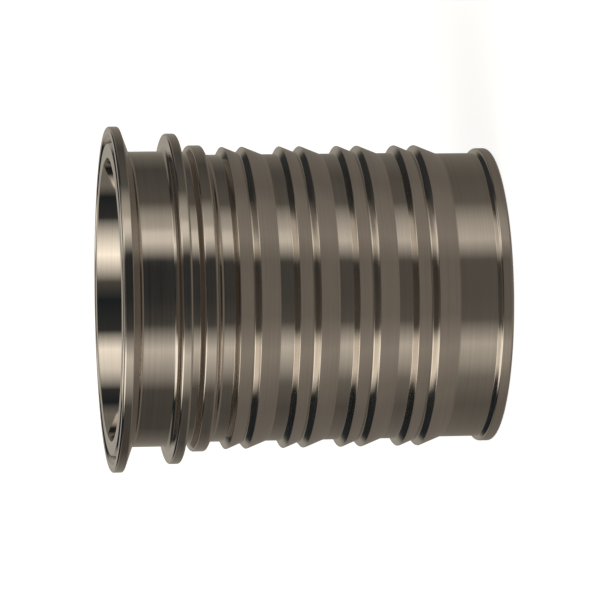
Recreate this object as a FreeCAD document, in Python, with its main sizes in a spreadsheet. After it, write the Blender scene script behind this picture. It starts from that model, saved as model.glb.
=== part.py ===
"""Four-inch sanitary clamp hose stem, turned from one piece of stainless steel.

The stem stands on its tail end. +Z runs up its axis to the flange face, and the
origin is the centre of the tail end. All lengths are in millimetres.
"""
import FreeCAD
import Part
import Sketcher

import os

# Driving dimensions: alias, value, what it measures
SIZES = [
    ("neck_diameter", 101.6, "tube behind the flange, which the other radii step from"),
    ("neck_length", 12.85, "from the foot of the flange's back to the collar"),
    ("flange_overhang", 8.66, "flange edge beyond the neck, all round"),
    ("rim_thickness", 3.35, "flange edge, face to the sloped back"),
    ("rim_corner", 0.42, "broken edge of the flange face"),
    ("back_corner", 0.2, "broken edge between the flange's edge and its back"),
    ("back_angle", 20, "slope of the flange's back, degrees"),
    ("neck_corner", 0.42, "sloped corner between the flange's back and the neck"),
    ("ferrule_wall", 2.11, "wall between the neck and the bore at the flange"),
    ("ferrule_bore_depth", 12.0, "straight bore from the face"),
    ("bore_taper_length", 7.0, "cone between the two bores"),
    ("gasket_inset", 4.31, "flange edge to the gasket groove's centre line"),
    ("gasket_width", 3.2, "gasket groove at the face"),
    ("gasket_floor", 1.2, "flat floor of the gasket groove"),
    ("gasket_depth", 1.45, "depth of the gasket groove"),
    ("collar_height", 6.08, "collar above the neck; it stops the ferrule"),
    ("collar_width", 3.8, "collar along the axis"),
    ("collar_corner", 0.47, "broken edges of the collar"),
    ("collar_foot", 1.05, "sloped corner between the neck and the collar"),
    ("shank_step", 1.32, "shank below the neck"),
    ("shank_length", 4.45, "plain shank from the ring to the first barb"),
    ("shank_wall", 3.48, "wall between the shank and the stem's bore"),
    ("slot_height", 0.72, "floor of the ferrule's slot above the shank"),
    ("slot_width", 3.2, "slot between collar and ring"),
    ("ring_height", 3.26, "ring above the shank; it holds the ferrule's lip"),
    ("ring_rise", 1.2, "sloped side of the ring towards the slot, along the axis"),
    ("ring_width", 4.25, "top of the ring"),
    ("ring_fall", 1.6, "steep side of the ring towards the barbs, along the axis"),
    ("ring_foot", 0.46, "sloped corner between the ring and the shank"),
    ("barb_pairs", 4, "pairs of barbs"),
    ("pair_pitch", 20.0, "from one pair to the next"),
    ("barb_height", 2.65, "barb crests above the shank"),
    ("crest_land", 0.25, "flat on each crest"),
    ("valley_height", 0.6, "valley inside a pair, above the shank"),
    ("first_rise", 1.45, "steep side of the first barb, along the axis"),
    ("first_fall", 4.95, "long slope of the first barb, along the axis"),
    ("second_rise", 1.8, "steep side of the second barb, along the axis"),
    ("second_fall", 6.6, "long slope of the second barb, along the axis"),
    ("land_drop", 0.28, "plain stretch before the tail band, below the shank"),
    ("land_length", 13.6, "plain stretch along the axis"),
    ("band_height", 1.68, "tail band above the plain stretch"),
    ("band_rise", 1.05, "sloped side of the tail band, along the axis"),
    ("band_width", 4.1, "tail band along the axis"),
    ("band_corner", 0.65, "broken outer edge of the tail end"),
    ("tail_bevel", 0.5, "bevel of the bore at the tail end"),
]

COLUMN_OF_NOTES = "A"
COLUMN_OF_VALUES = "B"
MATCH = 0.0001


def size(alias):
    """Expression that reads one driving dimension."""
    return "<<sizes>>." + alias


def plus(base, *aliases):
    """Expression of a radius or level that lies some sizes beyond another one."""
    return " + ".join([base] + [size(alias) for alias in aliases])


def minus(base, *aliases):
    """Expression of a radius or level that lies some sizes short of another one."""
    return " - ".join([base] + [size(alias) for alias in aliases])


# Radii, each a step from the neck or from the shank
AXIS = "0"
NECK = size("neck_diameter") + " / 2"
FLANGE = plus(NECK, "flange_overhang")
FERRULE_BORE = minus(NECK, "ferrule_wall")
GASKET = minus(FLANGE, "gasket_inset")
COLLAR = plus(NECK, "collar_height")
SHANK = minus(NECK, "shank_step")
STEM_BORE = minus(SHANK, "shank_wall")
SLOT = plus(SHANK, "slot_height")
RING = plus(SHANK, "ring_height")
CREST = plus(SHANK, "barb_height")
VALLEY = plus(SHANK, "valley_height")
LAND = minus(SHANK, "land_drop")
BAND = plus(LAND, "band_height")

# Levels along the axis, from the tail end up to the flange face
TAIL = "0"
BAND_TOP = plus(TAIL, "band_width")
LAND_FOOT = plus(BAND_TOP, "band_rise")
BARB_FOOT = plus(LAND_FOOT, "land_length")
SECOND_CREST = plus(BARB_FOOT, "second_fall")
SECOND_CREST_TOP = plus(SECOND_CREST, "crest_land")
VALLEY_LEVEL = plus(SECOND_CREST_TOP, "second_rise")
FIRST_CREST = plus(VALLEY_LEVEL, "first_fall")
FIRST_CREST_TOP = plus(FIRST_CREST, "crest_land")
PAIR_TOP = plus(FIRST_CREST_TOP, "first_rise")
BARBS_TOP = PAIR_TOP + " + " + size("pair_pitch") + " * (" + size("barb_pairs") + " - 1)"
RING_FOOT = plus(BARBS_TOP, "shank_length")
RING_EDGE = plus(RING_FOOT, "ring_fall")
RING_TOP = plus(RING_EDGE, "ring_width")
SLOT_FOOT = plus(RING_TOP, "ring_rise")
COLLAR_FOOT = plus(SLOT_FOOT, "slot_width")
COLLAR_TOP = plus(COLLAR_FOOT, "collar_width")
NECK_TOP = plus(COLLAR_TOP, "neck_length")
RIM_FOOT = NECK_TOP + " + " + size("flange_overhang") + " * tan(" + size("back_angle") + " * 1 deg)"
FACE = plus(RIM_FOOT, "rim_thickness")
TAPER_TOP = minus(FACE, "ferrule_bore_depth")
TAPER_FOOT = minus(TAPER_TOP, "bore_taper_length")
GASKET_BOTTOM = minus(FACE, "gasket_depth")


def write_sizes(doc):
    """Puts the driving dimensions into the spreadsheet."""
    sheet = doc.addObject("Spreadsheet::Sheet", "sizes")
    for row, (alias, value, note) in enumerate(SIZES, start=1):
        cell = COLUMN_OF_VALUES + str(row)
        sheet.set(COLUMN_OF_NOTES + str(row), note)
        sheet.set(cell, str(value))
        sheet.setAlias(cell, alias)
    doc.recompute()
    return sheet


def origin_feature(body, role):
    """One of the body's own planes or axes."""
    for feature in body.Origin.OriginFeatures:
        if feature.Role == role:
            return feature
    raise RuntimeError("no " + role)


def number(holder, expression):
    """Value of an expression in millimetres."""
    value = holder.evalExpression(expression)
    return float(getattr(value, "Value", value))


def new_sketch(body, name):
    """Empty sketch in the plane through the axis: x is the radius, y the height."""
    sketch = body.newObject("Sketcher::SketchObject", name)
    sketch.AttachmentSupport = (origin_feature(body, "XZ_Plane"), [""])
    sketch.MapMode = "FlatFace"
    return sketch


def hold(sketch, kind, line, expression, name):
    """Ties one coordinate of a line's start to an expression."""
    start = 1
    origin = (-1, 1)
    value = number(sketch, expression)
    index = sketch.addConstraint(Sketcher.Constraint(kind, *origin, line, start, value))
    sketch.renameConstraint(index, name)
    sketch.setExpression("Constraints." + name, expression)


def section(body, name, corners):
    """Closed outline of straight lines through corners given as radius and level.

    Neighbours that share a radius or a level are joined by a vertical or a
    horizontal line, so each size is stated once.
    """
    sketch = new_sketch(body, name)
    places = []
    for radius, level in corners:
        places.append(FreeCAD.Vector(number(sketch, radius), number(sketch, level), 0))
    total = len(places)
    for line in range(total):
        after = (line + 1) % total
        sketch.addGeometry(Part.LineSegment(places[line], places[after]), False)
    for line in range(total):
        after = (line + 1) % total
        sketch.addConstraint(Sketcher.Constraint("Coincident", line, 2, after, 1))
    for line, (radius, level) in enumerate(corners):
        before = (line - 1) % total
        radius_before, level_before = corners[before]
        if radius == AXIS:
            sketch.addConstraint(Sketcher.Constraint("PointOnObject", line, 1, -2))
        elif radius == radius_before and line > 0:
            sketch.addConstraint(Sketcher.Constraint("Vertical", before))
        else:
            hold(sketch, "DistanceX", line, radius, "radius" + str(line))
        if level == TAIL:
            sketch.addConstraint(Sketcher.Constraint("PointOnObject", line, 1, -1))
        elif level == level_before and line > 0:
            sketch.addConstraint(Sketcher.Constraint("Horizontal", before))
        else:
            hold(sketch, "DistanceY", line, level, "level" + str(line))
    return sketch


def turn(body, kind, name, sketch):
    """Full turn of a sketch about the stem's axis, adding or removing metal."""
    feature = body.newObject("PartDesign::" + kind, name)
    feature.Profile = sketch
    feature.ReferenceAxis = (sketch, ["V_Axis"])
    feature.Angle = 360
    return feature


def cut(body, name, sketch):
    """Groove turned from a sketch, checked to have removed metal."""
    doc = body.Document
    doc.recompute()
    before = body.Shape.Volume
    feature = turn(body, "Groove", name, sketch)
    doc.recompute()
    if feature.Shape.Volume >= before:
        raise RuntimeError(name + " removes nothing")
    return feature


def circles(feature, rings):
    """Names of the circular edges of a feature at the given radii and levels."""
    wanted = []
    for radius, level in rings:
        wanted.append((number(feature, radius), number(feature, level)))
    names = []
    for index, edge in enumerate(feature.Shape.Edges, start=1):
        if edge.Curve.TypeId != "Part::GeomCircle":
            continue
        for radius, level in wanted:
            near_radius = abs(edge.Curve.Radius - radius) < MATCH
            near_level = abs(edge.Curve.Center.z - level) < MATCH
            if near_radius and near_level:
                names.append("Edge" + str(index))
    if len(names) != len(rings):
        raise RuntimeError("an edge to finish is missing on " + feature.Name)
    return names


def break_edges(body, name, alias, rings):
    """Chamfer on circular edges, its leg bound to a driving dimension."""
    doc = body.Document
    base = body.Tip
    feature = body.newObject("PartDesign::Chamfer", name)
    feature.Base = (base, circles(base, rings))
    feature.setExpression("Size", size(alias))
    doc.recompute()
    return feature


def make_blank(body):
    """Bar turned to the outside shape, without the barbs."""
    corners = [
        (AXIS, TAIL),
        (BAND, TAIL),
        (BAND, BAND_TOP),
        (LAND, LAND_FOOT),
        (LAND, BARB_FOOT),
        (SHANK, BARB_FOOT),
        (SHANK, RING_FOOT),
        (RING, RING_EDGE),
        (RING, RING_TOP),
        (SLOT, SLOT_FOOT),
        (SLOT, COLLAR_FOOT),
        (COLLAR, COLLAR_FOOT),
        (COLLAR, COLLAR_TOP),
        (NECK, COLLAR_TOP),
        (NECK, NECK_TOP),
        (FLANGE, RIM_FOOT),
        (FLANGE, FACE),
        (AXIS, FACE),
    ]
    turn(body, "Revolution", "Blank", section(body, "BlankSection", corners))


def make_barbs(body):
    """Pairs of barbs: each barb is steep towards the flange and slopes to the tail.

    The section reaches into the shank as far as the long slope carries it below
    the land, so the last slope runs out on the land without a step.
    """
    reach = SECOND_CREST + " - " + size("second_fall")
    reach = reach + " * (1 + " + size("shank_wall") + " / " + size("barb_height") + ")"
    corners = [
        (STEM_BORE, reach),
        (CREST, SECOND_CREST),
        (CREST, SECOND_CREST_TOP),
        (VALLEY, VALLEY_LEVEL),
        (CREST, FIRST_CREST),
        (CREST, FIRST_CREST_TOP),
        (SHANK, PAIR_TOP),
        (STEM_BORE, PAIR_TOP),
    ]
    pair = turn(body, "Revolution", "BarbPair", section(body, "BarbPairSection", corners))
    body.Document.recompute()
    pattern = body.newObject("PartDesign::LinearPattern", "BarbPairs")
    pattern.Originals = [pair]
    pattern.Direction = (origin_feature(body, "Z_Axis"), [""])
    pattern.Mode = "Spacing"
    pattern.setExpression("Offset", size("pair_pitch"))
    pattern.setExpression("Occurrences", size("barb_pairs"))
    body.Tip = pattern
    body.Document.recompute()


def make_bore(body):
    """Through bore, wider in the ferrule end, with a cone between."""
    corners = [
        (AXIS, TAIL),
        (STEM_BORE, TAIL),
        (STEM_BORE, TAPER_FOOT),
        (FERRULE_BORE, TAPER_TOP),
        (FERRULE_BORE, FACE),
        (AXIS, FACE),
    ]
    cut(body, "Bore", section(body, "BoreSection", corners))


def make_gasket_groove(body):
    """Groove with sloped sides and a flat floor in the flange face."""
    half_width = size("gasket_width") + " / 2"
    half_floor = size("gasket_floor") + " / 2"
    corners = [
        (GASKET + " - " + half_width, FACE),
        (GASKET + " - " + half_floor, GASKET_BOTTOM),
        (GASKET + " + " + half_floor, GASKET_BOTTOM),
        (GASKET + " + " + half_width, FACE),
    ]
    cut(body, "GasketGroove", section(body, "GasketSection", corners))


def finish_corners(body):
    """Broken edges and sloped corners of the turned shape."""
    collar = [(COLLAR, COLLAR_TOP), (COLLAR, COLLAR_FOOT)]
    break_edges(body, "RimCorner", "rim_corner", [(FLANGE, FACE)])
    break_edges(body, "BackCorner", "back_corner", [(FLANGE, RIM_FOOT)])
    break_edges(body, "NeckCorner", "neck_corner", [(NECK, NECK_TOP)])
    break_edges(body, "CollarFoot", "collar_foot", [(NECK, COLLAR_TOP)])
    break_edges(body, "CollarCorners", "collar_corner", collar)
    break_edges(body, "RingFoot", "ring_foot", [(SHANK, RING_FOOT)])
    break_edges(body, "BandCorner", "band_corner", [(BAND, TAIL)])
    break_edges(body, "TailBevel", "tail_bevel", [(STEM_BORE, TAIL)])


def check(doc, body):
    """Stops if any feature failed or the piece isn't one valid solid."""
    for item in doc.Objects:
        if "Invalid" in item.State or "Error" in item.State:
            raise RuntimeError(item.Name + " failed: " + str(item.State))
    shape = body.Shape
    if shape.isNull() or not shape.isValid() or len(shape.Solids) != 1:
        raise RuntimeError(body.Label + " is not one valid solid")


def make_stem(doc):
    """The whole stem as one body."""
    body = doc.addObject("PartDesign::Body", "HoseStem")
    body.Label = "hose_stem"
    make_blank(body)
    make_barbs(body)
    make_bore(body)
    make_gasket_groove(body)
    finish_corners(body)
    body.Placement = FreeCAD.Placement()
    return body


doc = FreeCAD.newDocument("hose_stem")
sheet = write_sizes(doc)
stem = make_stem(doc)
doc.recompute()
check(doc, stem)

os.makedirs("parts", exist_ok=True)
stem.Shape.exportStep(os.path.join("parts", stem.Label + ".step"))
box = stem.Shape.optimalBoundingBox()
print(stem.Label, "volume", round(stem.Shape.Volume), "height", round(box.ZMax - box.ZMin, 3))
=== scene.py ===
"""Looks of the clamp hose stem: a finely turned skin over the CAD solid, its finishes, and a soft studio."""

import math

import bpy
from mathutils import Matrix, Vector


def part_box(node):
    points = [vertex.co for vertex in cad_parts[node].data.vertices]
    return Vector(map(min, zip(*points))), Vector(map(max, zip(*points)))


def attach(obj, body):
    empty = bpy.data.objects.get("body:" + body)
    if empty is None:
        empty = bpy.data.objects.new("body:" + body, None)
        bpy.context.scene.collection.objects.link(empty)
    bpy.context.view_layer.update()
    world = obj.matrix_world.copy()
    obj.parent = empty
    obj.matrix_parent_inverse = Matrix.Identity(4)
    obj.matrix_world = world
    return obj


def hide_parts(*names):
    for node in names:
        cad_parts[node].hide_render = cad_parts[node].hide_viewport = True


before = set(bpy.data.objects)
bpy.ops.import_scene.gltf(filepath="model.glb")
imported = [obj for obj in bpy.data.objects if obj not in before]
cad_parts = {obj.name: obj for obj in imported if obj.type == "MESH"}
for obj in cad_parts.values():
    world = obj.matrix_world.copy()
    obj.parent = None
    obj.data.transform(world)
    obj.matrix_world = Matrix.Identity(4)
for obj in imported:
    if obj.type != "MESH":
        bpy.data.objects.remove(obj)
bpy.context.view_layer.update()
stem_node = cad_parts["hose_stem"]
low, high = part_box("hose_stem")

# Settings of the view
scene = bpy.context.scene
scene.view_settings.view_transform = "Standard"

SEGMENTS = 288
ARC_STEP = math.radians(15)
# each corner of the section is run out by this much, in metres, or by half of a side that is short
EDGE_BREAK = 0.00012
SHORT_SIDE = 0.0016
# on the shank, the feet and crests of steep rises between long sides are rounder
FOOT = 0.00035
CREST = 0.0006
STEEP = math.radians(40)
FOOT_SHARE = 0.45
SHANK_INNER = 0.05
SHANK_OUTER = 0.053
# the ferrule bore is lit as a gentle cone, and the tail band as slightly crowned
BORE_LEAN = math.radians(8)
BORE_TOP = 0.0480
BAND_TOP = 0.0040
CROWN_LEAST = 3
CROWN_RISE = 5
# where the finishes meet
BORE_SIDE = 0.04885
FACE_DEPTH = 0.0016
RISE_INNER = 0.049
RISE_OUTER = 0.0535
RISE_SLOPE = 1.1
# rings of the mesh closer than this are one corner
SAME = 0.00003
FULL_RING = 0.6
REACH = min(high.x, high.y, -low.x, -low.y)


# camera
def make_camera():
    """Long lens beyond the flange end, rolled so that the stem's axis lies across the picture."""
    pan, tilt, roll = math.radians(7.888), math.radians(0.047), math.radians(90.0)
    lean = math.radians(0.84)
    towards = Vector((0, math.cos(pan), -math.sin(pan)))
    right = Vector((0, -math.sin(pan), -math.cos(pan)))
    up = Vector((math.sin(roll), 0, 0))
    up_tilted = math.cos(tilt) * up + math.sin(tilt) * towards
    ahead = math.cos(tilt) * towards - math.sin(tilt) * up
    side = math.cos(lean) * right - math.sin(lean) * up_tilted
    top = math.sin(lean) * right + math.cos(lean) * up_tilted
    data = bpy.data.cameras.new("camera")
    data.sensor_width = 36.0
    data.lens = 225.82
    data.clip_end = 50.0
    cam = bpy.data.objects.new("camera", data)
    scene.collection.objects.link(cam)
    turn = Matrix((side, top, -ahead)).transposed().to_4x4()
    place = Matrix.Translation((0, -1.289916, high.z + 0.112397))
    cam.matrix_world = place @ turn
    scene.camera = cam


# turned skin
def corners_of(node):
    """Corners of the solid's own section, (radius, level), counter-clockwise, from its mesh's rings."""
    grid = {}
    rings = []
    ring_of = []
    for v in node.data.vertices:
        spot = (math.hypot(v.co.x, v.co.y), v.co.z)
        cell = (round(spot[0] * 1e4), round(spot[1] * 1e4))
        near = [i for dx in (-1, 0, 1) for dy in (-1, 0, 1)
                for i in grid.get((cell[0] + dx, cell[1] + dy), ())
                if math.dist(rings[i][0], spot) < SAME]
        if near:
            index = near[0]
        else:
            index = len(rings)
            rings.append([spot, 0])
            grid.setdefault(cell, []).append(index)
        rings[index][1] += 1
        ring_of.append(index)
    links = [set() for _ in rings]
    for e in node.data.edges:
        i, j = (ring_of[k] for k in e.vertices)
        if i != j:
            links[i].add(j)
            links[j].add(i)
    # a ring inside one face has about half the points that a corner, shared by two faces, has
    full = max(count for spot, count in rings) * FULL_RING
    for i, (spot, count) in enumerate(rings):
        if count < full:
            for a in links[i]:
                links[a].discard(i)
                links[a].update(b for b in links[i] if b != a)
            links[i] = set()
    live = [i for i, (spot, count) in enumerate(rings) if count >= full]
    start = min(live, key=lambda i: (round(rings[i][0][1], 5), -rings[i][0][0]))
    path = [start]
    last, here = start, max(links[start], key=lambda i: rings[i][0][0])
    while here != start and len(path) <= len(live):
        path.append(here)
        last, here = here, [i for i in links[here] if i != last][0]
    if len(path) != len(live):
        raise RuntimeError("the section has %d corners, but %d were followed" % (len(live), len(path)))
    return [Vector(rings[i][0]) for i in path]


def rounded(corners):
    """The section with each corner run out in a small arc: (radius, level, normal) all the way round."""
    out = []
    total = len(corners)
    for i, p in enumerate(corners):
        before, after = p - corners[i - 1], corners[(i + 1) % total] - p
        d0, d1 = before.normalized(), after.normalized()
        bend = math.atan2(d0.x * d1.y - d0.y * d1.x, d0.dot(d1))
        n0 = Vector((d0.y, -d0.x))
        if abs(bend) < 0.01:
            out.append((p.x, p.y, n0))
            continue
        shortest = min(before.length, after.length)
        tangent = EDGE_BREAK
        if abs(bend) > STEEP and SHANK_INNER < p.x < SHANK_OUTER:
            tangent = min(FOOT if bend < 0 else CREST, shortest * FOOT_SHARE)
        tangent = shortest / 2 if shortest < SHORT_SIDE else tangent
        radius = tangent / math.tan(abs(bend) / 2)
        side = 1 if bend > 0 else -1
        steps = max(2, math.ceil(abs(bend) / ARC_STEP))
        centre = p - d0 * tangent - n0 * radius * side
        for k in range(steps + 1):
            c, s = math.cos(bend * k / steps), math.sin(bend * k / steps)
            n = Vector((n0.x * c - n0.y * s, n0.x * s + n0.y * c))
            place = centre + n * radius * side
            out.append((place.x, place.y, n))
    return out


def make_skin(node):
    """Mesh of the whole turned surface, fine enough to have no facets, with its true normals."""
    section = []
    for radius, level, n in rounded(corners_of(node)):
        if section and math.hypot(radius - section[-1][0], level - section[-1][1]) < 1e-7:
            continue
        if n.x < -0.999 and radius > BORE_TOP:
            n = Vector((-math.cos(BORE_LEAN), math.sin(BORE_LEAN)))
        if n.x > 0.999 and level < BAND_TOP:
            crown = math.radians(CROWN_LEAST + CROWN_RISE * (BAND_TOP - level) / BAND_TOP)
            n = Vector((math.cos(crown), -math.sin(crown)))
        section.append((min(radius, REACH), level, n))
    count = len(section)
    points = []
    normals = []
    for k in range(SEGMENTS):
        a = 2 * math.pi * (k + 0.5) / SEGMENTS
        c, s = math.cos(a), math.sin(a)
        for radius, level, n in section:
            points.append((radius * c, radius * s, level))
            normals.append((n.x * c, n.x * s, n.y))
    faces = []
    kinds = []
    for k in range(SEGMENTS):
        here, there = k * count, (k + 1) % SEGMENTS * count
        for i in range(count):
            j = (i + 1) % count
            faces.append((here + i, there + i, there + j, here + j))
            n = section[i][2] + section[j][2]
            inside = max(section[i][0], section[j][0]) < BORE_SIDE and n.x < 0.1
            face = min(section[i][1], section[j][1]) > high.z - FACE_DEPTH and not inside
            steep = n.y > RISE_SLOPE and RISE_INNER < section[i][0] < RISE_OUTER
            kinds.append(1 if inside else 2 if face else 3 if steep else 0)
    mesh = bpy.data.meshes.new("stem_skin")
    mesh.from_pydata(points, [], faces)
    mesh.polygons.foreach_set("use_smooth", [True] * len(faces))
    mesh.polygons.foreach_set("material_index", kinds)
    mesh.normals_split_custom_set_from_vertices(normals)
    mesh.update()
    skin = bpy.data.objects.new("stem_skin", mesh)
    scene.collection.objects.link(skin)
    return skin


# materials
class Nodes:
    """Short way to add nodes and link them."""

    def __init__(self, tree):
        self.tree = tree
        tree.nodes.clear()

    def add(self, kind, inputs=(), **settings):
        node = self.tree.nodes.new(kind)
        for name, value in settings.items():
            setattr(node, name, value)
        for name, value in dict(inputs).items():
            if isinstance(value, bpy.types.NodeSocket):
                self.tree.links.new(value, node.inputs[name])
            else:
                node.inputs[name].default_value = value
        return node

    def math(self, operation, a, b=0.0, c=0.0):
        return self.add("ShaderNodeMath", {0: a, 1: b, 2: c}, operation=operation).outputs[0]

    def span(self, value, lo, hi, to_lo, to_hi):
        inputs = {"Value": value, "From Min": lo, "From Max": hi, "To Min": to_lo, "To Max": to_hi}
        return self.add("ShaderNodeMapRange", inputs).outputs[0]

    def ramp(self, value, stops):
        node = self.add("ShaderNodeValToRGB", {"Fac": value})
        while len(node.color_ramp.elements) > 1:
            node.color_ramp.elements.remove(node.color_ramp.elements[-1])
        for i, (place, colour) in enumerate(stops):
            element = node.color_ramp.elements[0] if i == 0 else node.color_ramp.elements.new(place)
            element.position = place
            element.color = (*colour, 1.0)
        return node.outputs["Color"]


def steel(name, roughness, spread, anisotropy, line_depth, tone):
    """Turned stainless steel: fine rings from the tool, a slight change of gloss from ring to ring."""
    mat = bpy.data.materials.new(name)
    mat.use_nodes = True
    t = Nodes(mat.node_tree)
    place = t.add("ShaderNodeTexCoord").outputs["Object"]
    xyz = t.add("ShaderNodeSeparateXYZ", {0: place})
    flat = t.add("ShaderNodeCombineXYZ", {0: xyz.outputs[0], 1: xyz.outputs[1]}).outputs[0]
    radius = t.add("ShaderNodeVectorMath", {0: flat}, operation="LENGTH").outputs["Value"]
    bearing = t.math("ARCTAN2", xyz.outputs[1], xyz.outputs[0])
    along = t.math("ADD", t.math("MULTIPLY", xyz.outputs[2], 1000.0), t.math("MULTIPLY", radius, 1370.0))
    # fine rings, which fade in and out slowly round the stem
    fine_at = t.add("ShaderNodeCombineXYZ", {
        0: t.math("MULTIPLY", along, 3.1), 1: t.math("MULTIPLY", bearing, 0.35)}).outputs[0]
    fine = t.add("ShaderNodeTexNoise", {
        "Vector": fine_at, "Scale": 1.0, "Detail": 3.0, "Roughness": 0.65}).outputs[0]
    wide_at = t.add("ShaderNodeCombineXYZ", {
        0: t.math("MULTIPLY", along, 0.8), 1: t.math("MULTIPLY", bearing, 0.9)}).outputs[0]
    wide = t.add("ShaderNodeTexNoise", {
        "Vector": wide_at, "Scale": 1.0, "Detail": 2.0, "Roughness": 0.5}).outputs[0]
    patch = t.add("ShaderNodeTexNoise", {
        "Vector": place, "Scale": 38.0, "Detail": 3.0, "Roughness": 0.55}).outputs[0]
    both = t.math("ADD", t.math("MULTIPLY", fine, 0.6), t.math("MULTIPLY", wide, 0.4))
    rough = t.math("ADD", t.span(both, 0.3, 0.7, roughness - spread, roughness + spread),
                   t.span(patch, 0.3, 0.7, -spread * 0.35, spread * 0.35))
    shade = t.math("ADD", t.math("MULTIPLY", both, 0.75), t.math("MULTIPLY", patch, 0.25))
    dark = tuple(c * (1 - 0.11) for c in tone)
    pale = tuple(min(1.0, c * (1 + 0.09)) for c in tone)
    colour = t.ramp(t.span(shade, 0.32, 0.68, 0.0, 1.0), [(0.0, dark), (0.5, tone), (1.0, pale)])
    bump = t.add("ShaderNodeBump", {"Strength": 1.0, "Distance": line_depth, "Height": fine}).outputs[0]
    tangent = t.add("ShaderNodeTangent", direction_type="RADIAL", axis="Z").outputs[0]
    shader = t.add("ShaderNodeBsdfPrincipled", {
        "Base Color": colour, "Roughness": rough, "Metallic": 1.0, "Anisotropic": anisotropy,
        "Anisotropic Rotation": 0.25, "Normal": bump, "Tangent": tangent})
    t.add("ShaderNodeOutputMaterial", {"Surface": shader.outputs[0]})
    return mat


FLOOR_LIFT = 0.8
FLOOR_HALF = 12.0
FLOOR_LEVEL = -0.0001


def floor_finish():
    """Pale studio floor, lifted to white for the eye; it keeps the stem's shadow."""
    mat = bpy.data.materials.new("pale_floor")
    mat.use_nodes = True
    t = Nodes(mat.node_tree)
    ray = t.add("ShaderNodeLightPath")
    seen = t.math("MAXIMUM", ray.outputs["Is Camera Ray"], ray.outputs["Is Transmission Ray"])
    seen = t.math("MAXIMUM", seen, ray.outputs["Is Glossy Ray"])
    paint = t.add("ShaderNodeBsdfDiffuse", {"Color": (0.82, 0.82, 0.82, 1.0)})
    strength = t.math("MULTIPLY", seen, FLOOR_LIFT)
    lift = t.add("ShaderNodeEmission", {"Color": (1.0, 1.0, 1.0, 1.0), "Strength": strength})
    total = t.add("ShaderNodeAddShader", {0: paint.outputs[0], 1: lift.outputs[0]})
    t.add("ShaderNodeOutputMaterial", {"Surface": total.outputs[0]})
    return mat


def make_floor():
    mesh = bpy.data.meshes.new("floor")
    corners = [(x * FLOOR_HALF, y * FLOOR_HALF, FLOOR_LEVEL) for x, y in ((-1, -1), (1, -1), (1, 1), (-1, 1))]
    mesh.from_pydata(corners, [], [(0, 1, 2, 3)])
    floor = bpy.data.objects.new("floor", mesh)
    scene.collection.objects.link(floor)
    mesh.materials.append(floor_finish())
    floor.visible_glossy = False


# studio
# soft boxes and the room round the stem: brightness by bearing in degrees from the camera's side,
# in layers from the floor up
ROUND = [
    (-180, 0.35), (-120, 0.08), (-75, 0.08), (-58, 0.45), (-40, 0.80), (-20, 0.06), (0, 0.03), (30, 0.03),
    (45, 0.95), (52, 0.95), (57, 0.55), (67, 0.45), (80, 0.12), (120, 0.08), (180, 0.35),
]
LOWER = [
    (-180, 0.25), (-100, 0.11), (-70, 0.20), (-55, 0.50), (-40, 0.75), (-20, 0.12), (0, 0.10), (28, 0.10),
    (45, 0.80), (60, 0.58), (80, 0.12), (110, 0.10), (180, 0.25),
]
BELOW = [
    (-180, 0.20), (-90, 0.22), (-55, 0.36), (-20, 0.21), (35, 0.20), (60, 0.31), (100, 0.22), (180, 0.20),
]
UPPER = [
    (-180, 0.40), (-110, 0.25), (-95, 0.03), (-72, 0.05), (-52, 1.00), (-38, 1.60), (-15, 0.10), (0, 0.03),
    (26, 0.05), (42, 1.30), (60, 0.95), (80, 0.05), (95, 0.03), (110, 0.25), (180, 0.40),
]
MIDDLE = [
    (-180, 0.03), (-80, 0.03), (-60, 1.50), (-33, 1.50), (-22, 0.10), (24, 0.06), (37, 1.10), (50, 0.40),
    (68, 0.18), (80, 0.05), (180, 0.04),
]
ABOVE = [
    (-180, 0.03), (-80, 0.03), (-60, 1.40), (-35, 1.40), (-24, 0.12), (24, 0.08), (38, 1.10), (60, 0.95),
    (75, 0.08), (180, 0.03),
]
# how far the upper boxes lean over the stem
LEAN = 0.42
DARK = 0.07
COOL = (-0.68, -0.36, 0.07)
WARM = (1.0, 0.92, 0.79, 1.0)
WARM_BELOW = (1.0, 0.88, 0.75, 1.0)


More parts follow.
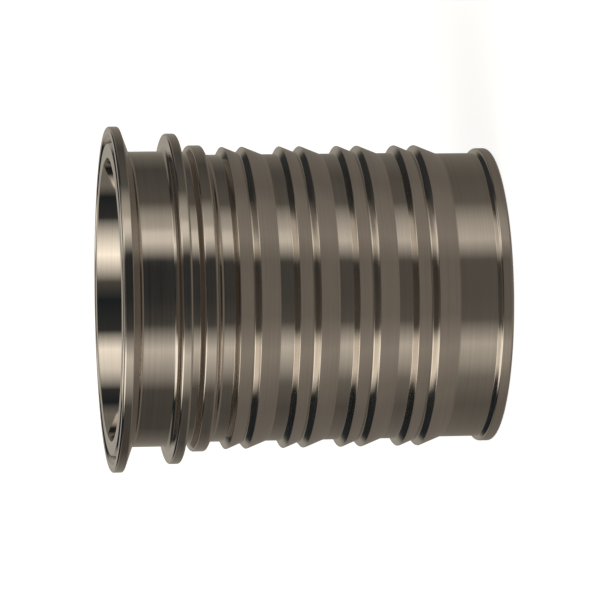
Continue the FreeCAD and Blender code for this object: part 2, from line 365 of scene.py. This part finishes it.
def make_world():
    """What lights the stem and shows in it: two tall soft boxes, a dark room between, a pale floor."""
    world = bpy.data.worlds.new("studio")
    world.use_nodes = True
    t = Nodes(world.node_tree)
    way = t.add("ShaderNodeTexCoord").outputs["Generated"]
    xyz = t.add("ShaderNodeSeparateXYZ", {0: way})
    height = t.math("ARCSINE", xyz.outputs[2])
    ahead = t.math("MULTIPLY", xyz.outputs[1], -1.0)
    leaning = t.math("MULTIPLY_ADD", t.math("MAXIMUM", xyz.outputs[2], 0.0), LEAN, ahead)

    def round_about(table, tint, front=ahead):
        bearing = t.math("ARCTAN2", xyz.outputs[0], front)
        place = t.span(bearing, -math.pi, math.pi, 0.0, 1.0)
        stops = []
        for a, v in table:
            # the dark of the room is a neutral grey, and the boxes are warm
            cool = max(0.0, 1 - v / DARK)
            stops.append(((a + 180) / 360, tuple(v * (1 + shift * cool) for shift in COOL)))
        grey = t.ramp(place, stops)
        tinted = t.add("ShaderNodeMix", {6: grey, 7: tint, 0: 1.0}, data_type="RGBA", blend_type="MULTIPLY")
        return tinted.outputs[2]

    def between(low_side, high_side, start, end, share=1.0):
        part = t.span(height, math.radians(start), math.radians(end), 0.0, share)
        return t.add("ShaderNodeMix", {0: part, 6: low_side, 7: high_side}, data_type="RGBA").outputs[2]

    below = round_about(BELOW, WARM_BELOW)
    room = between(round_about(ROUND, WARM), round_about(UPPER, WARM), -2, 6)
    room = between(room, round_about(MIDDLE, WARM, leaning), 12, 18)
    room = between(room, round_about(ABOVE, WARM, leaning), 44, 52)
    room = between(room, round_about(LOWER, WARM), -6.7, -7.5)
    room = between(room, below, -8.9, -9.8, 0.28)
    room = between(room, below, -12, -14, 0.52)
    room = between(room, below, -33, -39)
    ray = t.add("ShaderNodeLightPath")
    seen = t.math("MAXIMUM", ray.outputs["Is Camera Ray"], ray.outputs["Is Transmission Ray"])
    colour = t.add("ShaderNodeMix", {0: seen, 6: room, 7: (1.0, 1.0, 1.0, 1.0)}, data_type="RGBA").outputs[2]
    light = t.add("ShaderNodeBackground", {"Color": colour, "Strength": 1.0})
    t.add("ShaderNodeOutputWorld", {"Surface": light.outputs[0]})
    scene.world = world


make_camera()
make_floor()
make_world()
skin = make_skin(stem_node)
skin.data.materials.append(steel("turned_steel", 0.11, 0.03, 0.5, 0.000002, (0.60, 0.56, 0.52)))
skin.data.materials.append(steel("bored_steel", 0.05, 0.01, 0.5, 0.0000004, (0.62, 0.58, 0.54)))
skin.data.materials.append(steel("faced_steel", 0.12, 0.03, 0.5, 0.000001, (0.60, 0.56, 0.52)))
skin.data.materials.append(steel("steep_steel", 0.16, 0.03, 0.3, 0.000001, (0.60, 0.56, 0.52)))
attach(skin, "root")
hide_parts("hose_stem")
